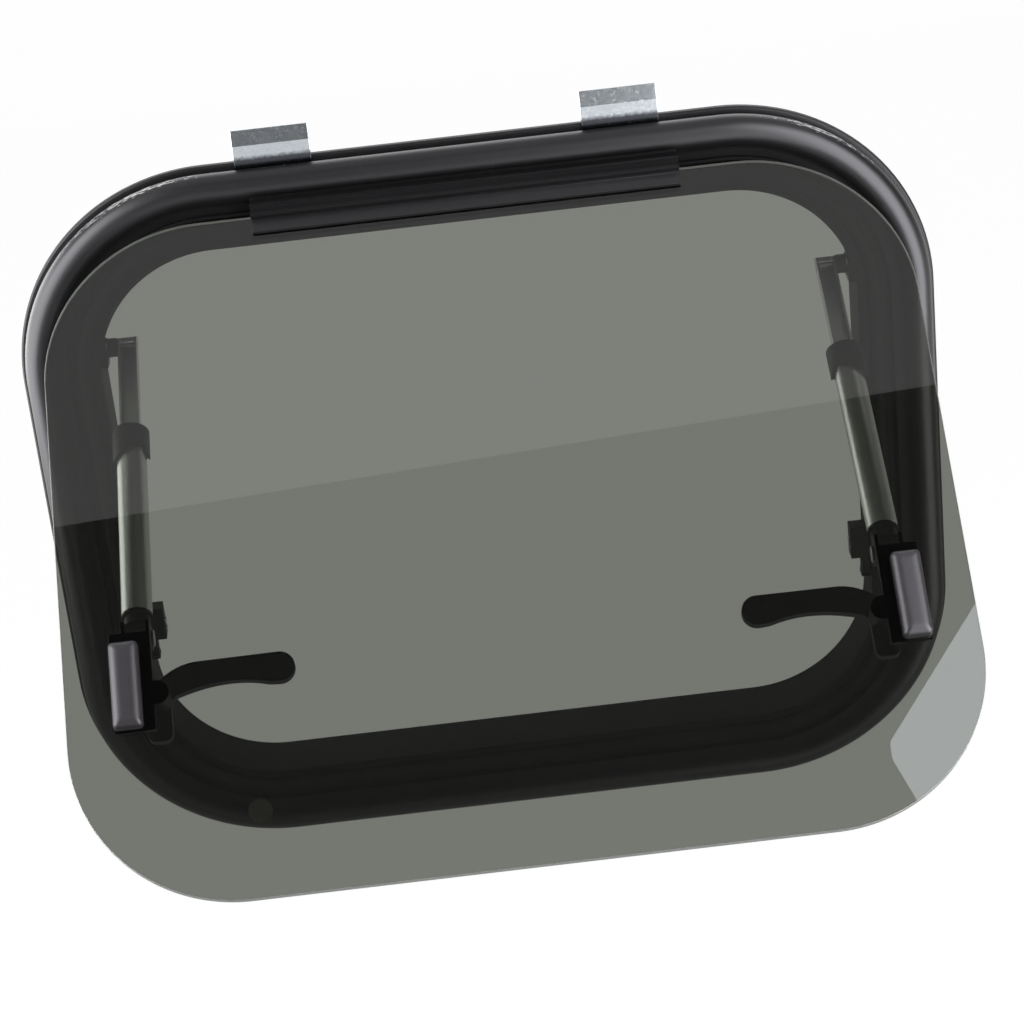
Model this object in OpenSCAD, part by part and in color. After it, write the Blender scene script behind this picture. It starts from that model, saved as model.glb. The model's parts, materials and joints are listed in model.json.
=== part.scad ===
// Top-hung caravan window: aluminium frame, frameless tinted glass, two telescopic stays, two catches.
// Origin on the wall side of the outer flange, at the bottom centre; +X right, +Z up, outside is -Y.

/* [Outer frame] */
// Overall width of the outer frame
frame_w = 530; // [480:1:640]
// Overall height of the outer frame
frame_h = 437; // [410:1:520]
// Outer radius of the frame's corners
corner_r = 118; // [105:1:135]
// Width of the frame's face, from its outer edge to the opening
face_w = 44.6; // [43.6:0.1:48]
// Radius of the convex outer bead
bead_r = 9.2; // [8.4:0.1:9.6]
// Height of the bead's crest in front of the wall
bead_front = 10.5; // [9.9:0.1:11]
// Thickness of the tunnel wall that lines the wall cut-out
tunnel_t = 1.8; // [1.4:0.1:2.2]
// Depth of the tunnel behind the flange
tunnel_depth = 27; // [22:1:32]
// Height of the lip round the opening, in front of the wall
lip_front = 8.4; // [7.8:0.1:9]
// Distance of the origin from the frame's outer edge
origin_inset = 8; // [6:0.5:11]

/* [Clamp ring] */
// Thickness of the gasket, which lies flush in the wall side of the flange
gasket_t = 1.5; // [1:0.1:1.8]
// Space left between the flange and the clips, where the wall's skin goes
clamp_space = 2.1; // [2.1:0.1:8]
// Depth of the clamp ring's outer rim
rim_depth = 4; // [3:0.5:8]
// Depth of the clamp ring's neck round the tunnel
neck_depth = 8; // [5:0.5:12]
// Amount that the clamp ring stands out past the frame
rim_out = 2.5; // [1:0.5:4]
// Thickness of the clamp ring's sheet
ring_t = 2; // [1.5:0.1:2.5]

/* [Glass] */
// Thickness of the toughened glass
glass_t = 4; // [3:0.5:5]
// Width of the frame's face that the glass leaves bare at the sides
glass_side = 21.2; // [20:0.1:23]
// Width of the frame's face that the glass leaves bare at the top
glass_top = 19.1; // [18.6:0.1:20]
// Width of the frame's face that the glass leaves bare at the bottom
glass_bottom = 23.3; // [21:0.1:40]
// Radius of the glass sheet's corners
glass_r = 91; // [80:1:100]
// Place of the middle of the closed glass in front of the wall
glass_front = 12; // [11.6:0.1:13]

/* [Hinge] */
// Angle that the window stands open
open_angle = 48.8; // [30:0.1:55]
// Place of the hinge axis in front of the wall
hinge_front = 19.6; // [19:0.1:20.2]
// Distance of the hinge axis below the frame's top edge
hinge_drop = 20.8; // [20.2:0.1:21.4]
// Length of the hinge profiles
hinge_len = 243; // [160:1:280]
// Radius of the round bead that turns in the rail
hinge_bead_r = 1.2; // [1:0.1:1.4]

/* [Stays] */
// Distance of each stay from the tunnel's side wall
stay_side = 16.4; // [15.4:0.1:18]
// Place of the stay's lower pivot down the glass, as a share of its height
stay_drop_share = 0.608; // [0.6:0.002:0.616]
// Distance of the stay's lower pivot from the middle of the glass
stay_stand = 14; // [13.5:0.1:15]
// Place of the stay's upper pivot behind the flange face
stay_in = 2; // [1.5:0.5:4]
// Height of the stay's upper pivot above the end of the frame's straight side
stay_above = 16.6; // [13:0.1:20]
// Outer diameter of the stay's tube
tube_d = 17; // [16.6:0.1:18]
// Wall of the stay's tube
tube_t = 1; // [0.8:0.1:1.2]
// Width of the channel that slides in the tube
rod_w = 11; // [10:0.1:11.4]
// Depth of the channel that slides in the tube
rod_h = 8.6; // [7.5:0.1:9]
// Outer diameter of the collar on the tube
collar_d = 21; // [20:0.1:21.6]
// Length of the collar on the tube
collar_len = 24.5; // [20:0.5:30]
// Radius of the stay's pivot pins
pivot_r = 2.5; // [2:0.1:3]

/* [Catches] */
// Distance of each catch hub from the tunnel's side wall
catch_side = 25.4; // [24.4:0.1:27]
// Distance of the catch hub below the stay's lower pivot
catch_below = 35; // [33:0.5:38]
// Distance of the lever's front face from the middle of the glass
catch_stand = 17; // [16:0.5:18]
// Thickness of the catch lever
lever_t = 6; // [4:0.5:7]
// Reach of the lever's tongue past its hub
tongue_len = 22.6; // [20:0.1:23.4]
// Length of the lever's handle past its hub
handle_len = 73.8; // [60:0.1:85]

/* [Covers] */
// Width of the outer cover over the bracket screws
cover_w = 16; // [14:0.5:18]
// Length of the outer cover
cover_len = 48.5; // [42:0.5:52]
// Height of the outer cover above the glass
cover_h = 8; // [5:0.5:10]
// Distance of the cover's middle from the side edge of the glass
cover_side = 33.4; // [32:0.1:35]
// Distance of the cover's upper end below the stay's lower pivot
cover_below = 6.8; // [3:0.1:9]

/* [Wall clips] */
// Width of each sheet steel clip
clip_w = 44; // [30:1:60]
// Thickness of the clips' sheet
clip_t = 1.5; // [1:0.1:2]
// Height that a clip stands above the frame
clip_up = 21; // [14:0.5:30]
// Height of the clip's top edge, which leans back
clip_bend = 8.5; // [4:0.5:12]
// Angle that the clip's top edge leans back
clip_lean = 22; // [5:1:40]
// Place of the left clip's middle
clip_left_x = -106; // [-130:1:-80]
// Place of the right clip's middle
clip_right_x = 92; // [80:1:130]

/* [Hidden] */
$fn = 64;

fit = 0.1;          // running clearance at pins and in the hinge
gap = 0.3;          // clearance between pieces that only pass
middle_z = frame_h / 2 - origin_inset;
opening_x = frame_w / 2 - face_w;
glass_h = frame_h - glass_top - glass_bottom;
stay_x = opening_x - stay_side;
stay_drop = stay_drop_share * glass_h;
stay_high = frame_h / 2 - corner_r + stay_above;
catch_x = opening_x - catch_side;
catch_drop = stay_drop + catch_below;
cover_x = frame_w / 2 - glass_side - cover_side;
cover_drop = stay_drop + cover_below;

// Places across the frame's face, from its outer edge inwards, and depths of what is cut into it
valley_r = 5;
bead_turn = 50;
back_chamfer = 1.2;
rib_at = 23.2;
rib_w = 1.8;
rib_down = 1.6;
groove_w = 3.4;
groove_deep = 2;
seal_from = 30.6;
seal_w = 8;
seal_deep = 1.5;
gasket_from = 14;
gasket_w = 20;
flange_t = 6;
collar_gap = 0.6;
land_x = face_w - tunnel_t;

// The hinge and both pivots of a stay, as [y, z] about the window's middle with the window closed
hinge_at = [-hinge_front, frame_h / 2 - hinge_drop];
glass_top_z = frame_h / 2 - glass_top;
upper_pivot = [stay_in, stay_high];
lower_pivot_shut = [stay_stand - glass_front, glass_top_z - stay_drop];
function swing(p, a) = let (d = p - hinge_at)
    hinge_at + [d[0] * cos(a) + d[1] * sin(a), d[1] * cos(a) - d[0] * sin(a)];
lower_pivot = swing(lower_pivot_shut, open_angle);
stay_line = upper_pivot - lower_pivot;
stay_open = norm(stay_line);
stay_shut = norm(upper_pivot - lower_pivot_shut);
stay_lean = atan2(-stay_line[0], stay_line[1]);

// Places along a stay, from its lower pivot
eye_r = 6;
eye_w = 10;
plug_from = 8;
plug_d = tube_d - 2 * tube_t - 0.4;
tube_from = 16;
collar_to = stay_shut - 14.8;
cap_t = 3;
tube_to = collar_to - cap_t;
rod_from = stay_open - stay_shut + 40;
rod_past = 9.3;
rod_slant = 6.4;
rod_t = 1.2;

// The hinge: wall round the bead, strip on the glass, ends of the mouth, and the rail's neck, arm and foot
leaf_t = 0.8;
strip_t = 2.5;
strip_up = 1.2;
strip_down = 9.5;
mouth_from = 12;
mouth_to = 112;
neck_w = 0.9;
rail_clear = 2.9;
arm_t = 1.8;
foot_t = 1.5;
foot_h = 4;

lug_t = 2.5;
lug_r = 7;
base_t = 3;
plate_past = 0.6;
boss_r = 7;
strike_w = 11.5;
strike_h = 21;
strike_up = 23;
strike_back = 2.4;
hook_w = 5.4;
hook_h = 14.5;
lever_w = 13.3;
handle_r = 8.5;
pin_head_r = 4.5;
pin_head_t = 1.8;

function arc(c, r, from, to, n) = [for (i = [0 : n]) let (a = from + (to - from) * i / n)
    c + r * [cos(a), sin(a)]];
function bend(p, q, s, n) = [for (i = [1 : n]) let (t = i / n)
    (1 - t) * (1 - t) * p + 2 * t * (1 - t) * q + t * t * s];

// One side for the left and, mirrored, for the right
module at_side(side) {
    mirror([side > 0 ? 1 : 0, 0, 0]) children();
}

// A closed ring of one section that follows the frame's outline. The section's points are [inset, y].
module frame_ring(section) {
    w = frame_w / 2;
    h = frame_h / 2;
    translate([0, 0, middle_z]) {
        for (side = [0, 180])
            rotate([0, side, 0])
                translate([0, 0, corner_r - h])
                    linear_extrude(2 * (h - corner_r))
                        polygon([for (p = section) [w - p[0], p[1]]]);
        for (side = [90, 270])
            rotate([0, side, 0])
                translate([0, 0, corner_r - w])
                    linear_extrude(2 * (w - corner_r))
                        polygon([for (p = section) [h - p[0], p[1]]]);
        for (corner = [[1, 1, 0], [-1, 1, 90], [-1, -1, 180], [1, -1, 270]])
            translate([corner[0] * (w - corner_r), 0, corner[1] * (h - corner_r)])
                rotate([90, 0, 0])
                    rotate([0, 0, corner[2]])
                        rotate_extrude(angle = 90)
                            polygon([for (p = section) [corner_r - p[0], -p[1]]]);
    }
}

// Turns what is drawn for the closed window to where the open one stands
module opened() {
    translate([0, hinge_at[0], middle_z + hinge_at[1]])
        rotate([-open_angle, 0, 0])
            translate([0, -hinge_at[0], -hinge_at[1]])
                children();
}

// Puts a piece of a stay in place: its own Z runs from the lower pivot to the upper one
module on_stay(side) {
    at_side(side)
        translate([-stay_x, lower_pivot[0], middle_z + lower_pivot[1]])
            rotate([stay_lean, 0, 0])
                children();
}

// The space inside the tunnel, as a solid that reaches forwards from Y = 0
module opening_prism(depth) {
    w = opening_x;
    h = frame_h / 2 - face_w;
    r = corner_r - face_w;
    rotate([90, 0, 0])
        linear_extrude(depth) {
            square([2 * w, 2 * (h - r)], center = true);
            square([2 * (w - r), 2 * h], center = true);
            for (i = [-1, 1], j = [-1, 1])
                translate([i * (w - r), j * (h - r)])
                    circle(r = r, $fn = 180);
        }
}

// A pin or bore along X
module cross_pin(r, from, to) {
    translate([from, 0, 0])
        rotate([0, 90, 0])
            cylinder(r = r, h = to - from);
}

// Bead, valley, rib, groove and seal land, with a shallow seat for the gasket on the wall side
module outer_frame() {
    bead_y = bead_r - bead_front;
    turn = [bead_r, bead_y] + bead_r * [sin(bead_turn), -cos(bead_turn)];
    valley = turn + valley_r * [sin(bead_turn), -cos(bead_turn)];
    rib_y = rib_down - bead_front;
    floor_y = groove_deep - flange_t;
    seat_y = seal_deep - flange_t;
    gasket_to = gasket_from + gasket_w;
    color([0.06, 0.06, 0.065])
        frame_ring(concat(
            [[back_chamfer, 0], [0, -back_chamfer]],
            arc([bead_r, bead_y], bead_r, 180, 270 + bead_turn, 14),
            [for (i = [1 : 5]) let (across = sin(bead_turn) * (1 - (20 * i - 10) / 90))
                valley + valley_r * [-across, sqrt(1 - across * across)]],
            [[rib_at, valley[1] + valley_r], [rib_at, rib_y], [rib_at + rib_w, rib_y],
             [rib_at + rib_w, floor_y], [rib_at + rib_w + groove_w, floor_y],
             [rib_at + rib_w + groove_w, -flange_t], [seal_from, -flange_t],
             [seal_from, seat_y], [seal_from + seal_w, seat_y],
             [seal_from + seal_w, -flange_t], [land_x, -flange_t], [land_x, 0],
             [gasket_to, 0], [gasket_to, -gasket_t], [gasket_from, -gasket_t], [gasket_from, 0]]));
}

// Lip round the opening and the wall that lines the cut-out
module frame_tunnel() {
    chamfer = 0.8;
    color([0.06, 0.06, 0.065])
        frame_ring([[land_x, tunnel_depth], [land_x, chamfer - lip_front], [land_x + chamfer, -lip_front],
            [face_w, chamfer - lip_front], [face_w, tunnel_depth - chamfer],
            [face_w - chamfer, tunnel_depth]]);
}

// Flat gasket in its seat, flush with the flange's wall side
module wall_gasket() {
    color([0.10, 0.10, 0.10])
        frame_ring([[gasket_from, -gasket_t], [gasket_from, 0], [gasket_from + gasket_w, 0],
            [gasket_from + gasket_w, -gasket_t]]);
}

// Bulb seal that the closed glass rests on
module frame_seal() {
    bulb_r = seal_w / 2;
    rise = glass_front - glass_t / 2 - gap - flange_t;
    color([0.07, 0.07, 0.07])
        frame_ring(concat(
            [[seal_from, seal_deep - flange_t], [seal_from, -flange_t]],
            [for (i = [1 : 9]) [seal_from + bulb_r - bulb_r * cos(i * 18),
                -flange_t - rise * sin(i * 18)]],
            [[seal_from + seal_w, -flange_t], [seal_from + seal_w, seal_deep - flange_t]]));
}

// Inner ring that grips the wall from behind
module clamp_ring() {
    hole = land_x - collar_gap;
    front = clamp_space + clip_t;
    edge = 1;
    color([0.05, 0.05, 0.055])
        frame_ring([[edge - rim_out, front], [hole, front], [hole, front + neck_depth],
            [hole - ring_t, front + neck_depth], [hole - ring_t, front + ring_t],
            [ring_t - rim_out, front + ring_t], [ring_t - rim_out, front + rim_depth],
            [-rim_out, front + rim_depth], [-rim_out, front + edge]]);
}

// Rail on the frame: a bead on a neck, with an arm and a foot. Its section's origin is the hinge axis.
module hinge_rail() {
    arm_z = glass_top_z + 1.2 - hinge_at[1];
    foot_x = hinge_front - bead_front + flange_t - rail_clear;
    neck_turn = (mouth_from + mouth_to - open_angle) / 2;
    neck_len = (arm_z + arm_t / 2) / sin(neck_turn);
    color([0.09, 0.09, 0.095])
        translate([-hinge_len / 2, hinge_at[0], middle_z + hinge_at[1]])
            rotate([90, 0, 90])
                linear_extrude(hinge_len) {
                    circle(r = hinge_bead_r);
                    rotate(neck_turn)
                        translate([0, -neck_w / 2])
                            square([neck_len, neck_w]);
                    translate([neck_len * cos(neck_turn) - arm_t / 2, arm_z])
                        square([foot_x - neck_len * cos(neck_turn) + arm_t / 2, arm_t]);
                    difference() {
                        translate([foot_x - foot_t, arm_z])
                            square([foot_t, foot_h]);
                        translate([hinge_front - bead_front + bead_r, hinge_drop - bead_r])
                            circle(r = bead_r);
                    }
                }
}

// Sheet steel clip on the front of the clamp ring, with its top edge bent back
module wall_clip(x) {
    top_z = frame_h / 2 + clip_up;
    bend_z = top_z - clip_bend;
    foot_z = frame_h / 2 - gasket_from;
    back = clamp_space + clip_t;
    tip_y = clamp_space + clip_bend * tan(clip_lean);
    color([0.62, 0.62, 0.60])
        translate([x - clip_w / 2, 0, middle_z])
            rotate([90, 0, 90])
                linear_extrude(clip_w)
                    polygon([[clamp_space, foot_z], [back, foot_z],
                        [back, bend_z - clip_t * tan(clip_lean / 2)],
                        [tip_y + clip_t * cos(clip_lean), top_z - clip_t * sin(clip_lean)],
                        [tip_y, top_z], [clamp_space, bend_z]]);
}

// Block on the tunnel's side wall, with the round boss of the stay's upper pivot
module stay_bracket(side) {
    face_x = -stay_x - rod_w / 2 - 0.5;
    block = [4.2, 16, 12.6];
    corner = [-opening_x, upper_pivot[0] - 7, upper_pivot[1] - 9.5];
    stud_r = 5.5;
    color([0.05, 0.05, 0.055])
        at_side(side)
            translate([0, 0, middle_z])
                difference() {
                    intersection() {
                        union() {
                            translate(corner)
                                cube(block);
                            translate([0, upper_pivot[0], upper_pivot[1]])
                                cross_pin(stud_r, -opening_x, face_x);
                        }
                        translate([0, tunnel_depth, 0])
                            opening_prism(tunnel_depth + lip_front);
                    }
                    translate([0, upper_pivot[0], upper_pivot[1]])
                        cross_pin(pivot_r, face_x - 4, face_x + 1);
                }
}

// Stepped block on the tunnel's side wall that the catch tongue goes behind
module strike(side) {
    back = catch_stand - glass_front - 0.5;
    front = strike_back - lip_front;
    deep = back - front;
    hub_z = glass_top_z - catch_drop;
    foot_z = hub_z + strike_up - strike_h;
    lead = 3;
    color([0.05, 0.05, 0.055])
        at_side(side)
            translate([0, 0, middle_z])
                intersection() {
                    translate([-opening_x, front, foot_z]) {
                        cube([strike_w, deep, strike_h]);
                        rotate([90, 0, 90])
                            linear_extrude(hook_w)
                                polygon([[0, 0], [0, lead - hook_h], [lead, -hook_h], [deep, -hook_h],
                                    [deep, lead - hook_h], [deep - lead, 2 * lead - hook_h],
                                    [deep - lead, -lead], [deep, 0]]);
                    }
                    translate([0, tunnel_depth, 0])
                        opening_prism(tunnel_depth + lip_front);
                }
}

// Flat sheet with rounded corners, drawn in the plane of the closed window
module glass() {
    w = frame_w / 2 - glass_side;
    color([0.35, 0.38, 0.36, 0.5])
        opened()
            translate([0, glass_t / 2 - glass_front, glass_top_z - glass_h / 2])
                rotate([90, 0, 0])
                    linear_extrude(glass_t) {
                        square([2 * w, glass_h - 2 * glass_r], center = true);
                        square([2 * (w - glass_r), glass_h], center = true);
                        for (i = [-1, 1], j = [-1, 1])
                            translate([i * (w - glass_r), j * (glass_h / 2 - glass_r)])
                                circle(r = glass_r, $fn = 180);
                    }
}

// Strip on the top edge of the glass, with the round channel that turns about the rail's bead
module hinge_leaf() {
    back = hinge_front - glass_front - glass_t / 2;
    inner = hinge_bead_r + fit;
    outer = inner + leaf_t;
    color([0.09, 0.09, 0.095])
        opened()
            translate([-hinge_len / 2, hinge_at[0], hinge_at[1]])
                rotate([90, 0, 90])
                    linear_extrude(hinge_len)
                        polygon(concat(
                            [[back, strip_up], [back, -strip_down], [back - strip_t, -strip_down],
                             [back - strip_t, -outer]],
                            arc([0, 0], outer, 270, mouth_to, 16),
                            arc([0, 0], inner, mouth_to, 360 + mouth_from, 28),
                            [[back - strip_t, inner * sin(mouth_from)], [back - strip_t, strip_up]]));
}

// Bracket behind the glass: a base plate, two lugs for the stay and a boss for the catch
module sash_bracket(side) {
    lug_x = eye_w / 2 + gap;
    low = glass_t / 2;
    color([0.05, 0.05, 0.055])
        opened()
            at_side(side)
                translate([0, -glass_front, glass_top_z]) {
                    translate([-cover_x - cover_w / 2, low, -cover_drop - cover_len - plate_past])
                        cube([cover_x + cover_w / 2 - stay_x + lug_x + lug_t, base_t,
                            cover_len + cover_below + 2 * plate_past]);
                    for (x = [-lug_x - lug_t, lug_x])
                        difference() {
                            translate([-stay_x + x, 0, -stay_drop])
                                union() {
                                    translate([0, low, -lug_r])
                                        cube([lug_t, stay_stand - low, 2 * lug_r]);
                                    translate([0, stay_stand, 0])
                                        cross_pin(lug_r, 0, lug_t);
                                }
                            translate([-stay_x, stay_stand, -stay_drop])
                                cross_pin(pivot_r, x - 1, x + lug_t + 1);
                        }
                    difference() {
                        translate([-catch_x, low, -catch_drop])
                            rotate([-90, 0, 0])
                                cylinder(r = boss_r, h = catch_stand - gap - low);
                        translate([-catch_x, catch_stand - 6, -catch_drop])
                            rotate([-90, 0, 0])
                                cylinder(r = pivot_r, h = 7);
                    }
                }
}

// Bevelled metal cover outside the glass
module cover(side) {
    slope = 5;
    color([0.50, 0.49, 0.52])
        opened()
            at_side(side)
                translate([-cover_x, -glass_front - glass_t / 2, glass_top_z - cover_drop - cover_len])
                    intersection() {
                        linear_extrude(cover_len)
                            polygon([[-cover_w / 2, 0], [-cover_w / 2, -cover_h + 3],
                                [-cover_w / 2 + 3, -cover_h], [cover_w / 2 - 3, -cover_h],
                                [cover_w / 2, -cover_h + 3], [cover_w / 2, 0]]);
                        translate([-cover_w, 0, 0])
                            rotate([90, 0, 90])
                                linear_extrude(2 * cover_w)
                                    polygon([[0, 0], [-cover_h + slope, 0], [-cover_h, slope],
                                        [-cover_h, cover_len - slope], [-cover_h + slope, cover_len],
                                        [0, cover_len]]);
                    }
}

// Pin through the bracket's lugs and the stay's eye
module stay_pin(side) {
    reach = eye_w / 2 + gap + lug_t;
    color([0.45, 0.45, 0.46])
        opened()
            at_side(side)
                translate([-stay_x, stay_stand - glass_front, glass_top_z - stay_drop]) {
                    cross_pin(pivot_r, -reach, reach);
                    cross_pin(pin_head_r, reach, reach + 1.2);
                }
}

// Screw that the catch lever turns on
module catch_pin(side) {
    color([0.45, 0.45, 0.46])
        opened()
            at_side(side)
                translate([-catch_x, catch_stand - glass_front, glass_top_z - catch_drop])
                    rotate([-90, 0, 0]) {
                        translate([0, 0, -6])
                            cylinder(r = pivot_r, h = 6 + lever_t + gap);
                        translate([0, 0, lever_t + gap])
                            cylinder(r = pin_head_r, h = pin_head_t);
                    }
}

// Flat lever: its handle points to the middle of the window and its tongue down
module catch_lever(side) {
    tip = [handle_len - handle_r, 12];
    low = [-lever_w + 5.7, -tongue_len];
    outline = concat(
        arc(low + [4, 4], 4, 180, 270, 5),
        arc([low[0] + lever_w - 4, low[1] + 4], 4, 270, 360, 5),
        bend([5.7, -6], [5.7, 0], [9, 2], 5),
        bend([9, 2], [handle_len / 2, 11], [tip[0] - 6, tip[1] - handle_r + 0.4], 9),
        arc(tip, handle_r, -90, 90, 14),
        [[20, 20.2]],
        bend([20, 20.2], [11, 19.6], [3, 14], 5),
        bend([3, 14], [low[0], 7.5], [low[0], 0], 5));
    color([0.05, 0.05, 0.055])
        opened()
            at_side(side)
                translate([-catch_x, catch_stand - glass_front + lever_t, glass_top_z - catch_drop])
                    rotate([90, 0, 0])
                        difference() {
                            linear_extrude(lever_t)
                                polygon(outline);
                            translate([0, 0, -1])
                                cylinder(r = pivot_r + fit, h = lever_t + 2);
                        }
}

module stay_tube(side) {
    color([0.68, 0.69, 0.69])
        on_stay(side)
            difference() {
                translate([0, 0, tube_from])
                    cylinder(d = tube_d, h = tube_to - tube_from);
                translate([0, 0, tube_from - 1])
                    cylinder(d = tube_d - 2 * tube_t, h = tube_to - tube_from + 2);
            }
}

// Plug in the tube's lower end, with the eye of the lower pivot
module stay_plug(side) {
    color([0.05, 0.05, 0.055])
        on_stay(side)
            difference() {
                union() {
                    translate([0, 0, plug_from])
                        cylinder(d = plug_d, h = tube_from - plug_from + 8);
                    translate([0, 0, tube_from - 2])
                        cylinder(d = tube_d, h = 2);
                    cross_pin(eye_r, -eye_w / 2, eye_w / 2);
                    translate([-eye_w / 2, -eye_r + 1, 0])
                        cube([eye_w, 2 * eye_r - 2, plug_from + 2]);
                }
                cross_pin(pivot_r + fit, -eye_w, eye_w);
            }
}

// Collar on the tube's upper end, cut on a slant so that its inner side hangs lower
module stay_collar(side) {
    color([0.05, 0.05, 0.055])
        on_stay(side)
            difference() {
                translate([0, 0, collar_to - collar_len])
                    cylinder(d = collar_d, h = collar_len);
                translate([0, 0, collar_to - collar_len - 1])
                    cylinder(d = tube_d + 2 * fit, h = collar_len + 1 - cap_t);
                translate([0, 0, collar_to - cap_t - 1])
                    cylinder(d = tube_d - 2 * tube_t, h = cap_t + 2);
                translate([-collar_d / 2 - 1, -collar_d, collar_to - collar_len - 12])
                    rotate([0, -24, 0])
                        cube([collar_d * 1.3, 2 * collar_d, 12.5]);
            }
}

// Channel that slides in the tube and hangs on the upper pivot
module stay_rod(side) {
    color([0.72, 0.73, 0.73])
        on_stay(side)
            difference() {
                translate([0, 0, rod_from])
                    linear_extrude(stay_open + rod_past - rod_from)
                        difference() {
                            translate([-rod_w / 2, -rod_h / 2])
                                square([rod_w, rod_h]);
                            translate([-rod_w / 2 + rod_t, -rod_h / 2 - 1])
                                square([rod_w - 2 * rod_t, rod_h - rod_t + 1]);
                        }
                translate([0, 0, stay_open])
                    cross_pin(pivot_r, -rod_w, rod_w);
                translate([-rod_w, 0, stay_open + rod_past])
                    rotate([90, 0, 90])
                        linear_extrude(2 * rod_w)
                            polygon([[-rod_h, -rod_slant], [-rod_h / 2, -rod_slant],
                                [rod_h / 2 - rod_t, 0], [rod_h / 2 - rod_t, 1], [-rod_h, 1]]);
            }
}

// Rivet of the upper pivot, flush with both walls of the channel
module rod_pin(side) {
    color([0.20, 0.20, 0.21])
        on_stay(side)
            translate([0, 0, stay_open])
                cross_pin(pivot_r, -rod_w / 2, rod_w / 2);
}

outer_frame();
frame_tunnel();
wall_gasket();
frame_seal();
clamp_ring();
hinge_rail();
wall_clip(clip_left_x);  // wall_clip_left
wall_clip(clip_right_x);  // wall_clip_right
stay_bracket(-1);  // stay_bracket_left
stay_bracket(1);  // stay_bracket_right
strike(-1);  // strike_left
strike(1);  // strike_right
glass();
hinge_leaf();
sash_bracket(-1);  // sash_bracket_left
sash_bracket(1);  // sash_bracket_right
cover(-1);  // cover_left
cover(1);  // cover_right
stay_pin(-1);  // stay_pin_left
stay_pin(1);  // stay_pin_right
catch_pin(-1);  // catch_pin_left
catch_pin(1);  // catch_pin_right
catch_lever(-1);  // catch_lever_left
catch_lever(1);  // catch_lever_right
stay_tube(-1);  // stay_tube_left
stay_tube(1);  // stay_tube_right
stay_plug(-1);  // stay_plug_left
stay_plug(1);  // stay_plug_right
stay_collar(-1);  // stay_collar_left
stay_collar(1);  // stay_collar_right
stay_rod(-1);  // stay_rod_left
stay_rod(1);  // stay_rod_right
rod_pin(-1);  // rod_pin_left
rod_pin(1);  // rod_pin_right
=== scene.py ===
# %% [markdown]
# # A caravan window, standing open
# The frame brings every solid of the window at its real size. The steps below give the visible ones their
# true curves and finishes, add the small fasteners, and light the window as a studio would.

import json
import math

import bpy
import bmesh
import numpy as np
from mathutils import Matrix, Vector


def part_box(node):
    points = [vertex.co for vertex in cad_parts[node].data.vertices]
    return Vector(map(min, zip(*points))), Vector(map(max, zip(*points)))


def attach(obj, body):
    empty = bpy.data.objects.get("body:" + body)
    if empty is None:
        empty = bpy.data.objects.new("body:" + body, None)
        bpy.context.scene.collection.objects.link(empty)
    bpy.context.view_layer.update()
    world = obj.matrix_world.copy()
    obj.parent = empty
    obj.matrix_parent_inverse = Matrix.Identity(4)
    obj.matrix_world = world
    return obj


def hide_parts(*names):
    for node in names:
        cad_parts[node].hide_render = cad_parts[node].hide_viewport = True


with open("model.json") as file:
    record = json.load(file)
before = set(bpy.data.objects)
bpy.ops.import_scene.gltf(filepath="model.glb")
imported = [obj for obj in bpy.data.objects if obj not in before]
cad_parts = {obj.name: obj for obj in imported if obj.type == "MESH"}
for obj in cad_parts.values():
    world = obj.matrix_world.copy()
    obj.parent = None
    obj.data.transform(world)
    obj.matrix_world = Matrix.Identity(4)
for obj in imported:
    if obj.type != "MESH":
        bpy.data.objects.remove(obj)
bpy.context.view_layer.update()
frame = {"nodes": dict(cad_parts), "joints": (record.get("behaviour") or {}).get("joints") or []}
MM = 0.001
SIDES = ((-1, "left"), (1, "right"))


# %% [markdown]
# ## Surfaces from arrays
# Every new piece is a grid of points: one direction runs along the piece and the other across it. The grid
# gives the faces, and a signed volume tells whether they look outwards.

# %% Meshes from grids
def grid_faces(rows, cols, wrap_rows, wrap_cols):
    """Quads between neighbouring rows and columns of a grid of points, as an array of four indices each."""
    i = np.arange(rows if wrap_rows else rows - 1)
    j = np.arange(cols if wrap_cols else cols - 1)
    i, j = [a.ravel() for a in np.meshgrid(i, j, indexing="ij")]
    i2, j2 = (i + 1) % rows, (j + 1) % cols
    return np.stack([i * cols + j, i2 * cols + j, i2 * cols + j2, i * cols + j2], axis=1)


def ends(rows, cols):
    """The two faces that close a wrapped grid at its first and last column, wound like its quads."""
    first = np.arange(rows) * cols
    return [first[::-1], first + cols - 1]


def signed_volume(points, faces):
    """Sum of the box products of each face's fan of triangles: positive when the faces look outwards."""
    total, middle = 0.0, points.mean(axis=0)
    for face in faces:
        p = points[list(face)] - middle
        total += float((np.cross(p[1:-1], p[2:]) @ p[0]).sum())
    return total / 6


def smoothed(mesh, angle):
    """Smooth shading, with a sharp edge where two faces meet at more than an angle in degrees."""
    mesh.polygons.foreach_set("use_smooth", np.ones(len(mesh.polygons), bool))
    mesh.set_sharp_from_angle(angle=math.radians(angle))


def point_values(mesh, name, values):
    """One number for each point of a mesh, which a finish can read by its name."""
    mesh.attributes.new(name, "FLOAT", "POINT").data.foreach_set("value", np.asarray(values, float).ravel())


def placed(name, mesh, body, slot, node=None):
    """An object for a mesh, in the finish of a slot and riding on a body; it can stand for a CAD solid."""
    obj = bpy.data.objects.new(name, mesh)
    bpy.context.scene.collection.objects.link(obj)
    mesh.materials.clear()
    mesh.materials.append(finish[slot])
    if node:
        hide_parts(node)
    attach(obj, body)
    return obj


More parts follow.
